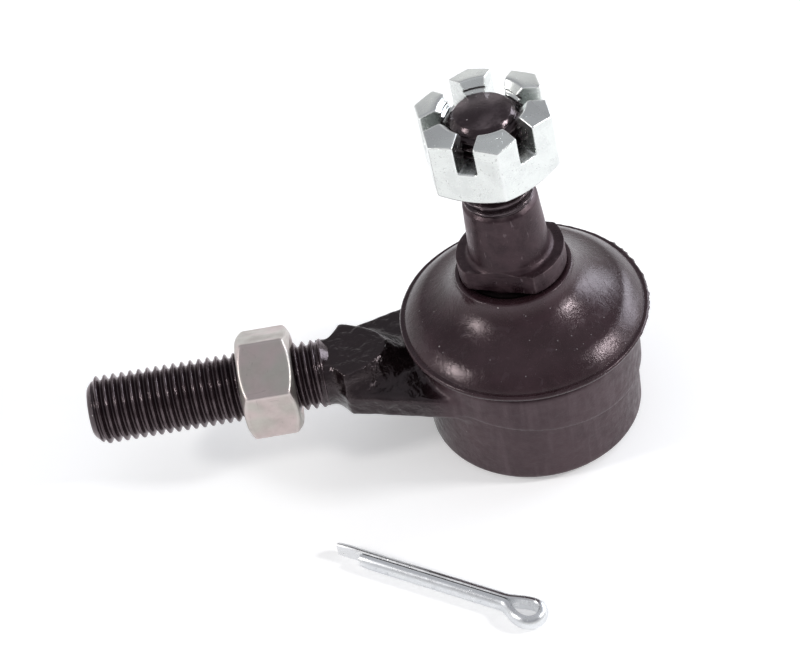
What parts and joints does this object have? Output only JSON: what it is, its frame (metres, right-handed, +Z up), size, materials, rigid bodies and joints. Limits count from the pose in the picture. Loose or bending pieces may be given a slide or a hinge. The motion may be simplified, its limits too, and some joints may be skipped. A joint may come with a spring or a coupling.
{
  "type": "tie rod end",
  "caption": "Steering ball joint with a threaded shank: forged cup, ball stud with taper and castle nut, rubber dust boot, jam nut and loose cotter pin.",
  "frame": {"origin": "centre of the cup's base, on the closing plate's pad", "axes": "+Z up the cup's axis, towards the stud; the threaded shank points along -X"},
  "size_m": [0.0811, 0.0591, 0.057],
  "materials": {
    "black_forging": "black coat over forged steel, semi-gloss, glossy on the arm",
    "closing_plate": "oiled pressed steel",
    "spring_steel": "hardened spring steel, satin",
    "acetal": "natural acetal, smooth",
    "stud_phosphate": "dark phosphated and oiled steel, satin",
    "boot_rubber": "satin black rubber",
    "ring_steel": "drawn steel wire",
    "bright_zinc": "bright zinc plate",
    "dull_zinc": "dull yellow-pink zinc plate",
    "pin_steel": "bright zinc-plated wire"
  },
  "bodies": {
    "housing": {"housing": "black_forging", "end_cap": "closing_plate", "preload_spring": "spring_steel", "lower_ball_seat": "acetal", "upper_ball_seat": "acetal", "boot_clamp_ring": "ring_steel"},
    "boot_mid": {"dust_boot": "boot_rubber"},
    "boot_neck": {"boot_neck_ring": "ring_steel"},
    "stud": {"ball_stud": "stud_phosphate"},
    "castle_nut": {"castle_nut": "bright_zinc"},
    "jam_nut": {"jam_nut": "dull_zinc"},
    "cotter_pin": {"cotter_pin": "pin_steel"}
  },
  "joints": [
    {"name": "stud_swing", "type": "hinge", "parent": "housing", "child": "boot_mid", "pos_m": [0, 0, 0.01384], "axis": [0, 1, 0], "range_deg": [-15.6, 20.4], "deforming": ["dust_boot"]},
    {"name": "stud_rock", "type": "hinge", "parent": "boot_mid", "child": "boot_neck", "pos_m": [0, 0, 0.01384], "axis": [0.9991, 0, 0.0419], "range_deg": [-16.2, 19.8], "deforming": ["dust_boot"]},
    {"name": "stud_spin", "type": "hinge", "parent": "boot_neck", "child": "stud", "pos_m": [0, 0, 0.01384], "axis": [-0.0419, 0.0314, 0.9986], "continuous": true},
    {"name": "castle_nut_turn", "type": "hinge", "parent": "stud", "child": "castle_nut", "pos_m": [-0.00159, 0.00119, 0.05169], "axis": [-0.0419, 0.0314, 0.9986], "continuous": true},
    {"name": "jam_nut_turn", "type": "hinge", "parent": "housing", "child": "jam_nut", "pos_m": [-0.0375, 0, 0.01384], "axis": [-1, 0, 0], "continuous": true},
    {"name": "cotter_pin_lift", "type": "slide", "parent": "housing", "child": "cotter_pin", "axis": [0, 0, 1], "range_m": [0, 0.06]}
  ]
}
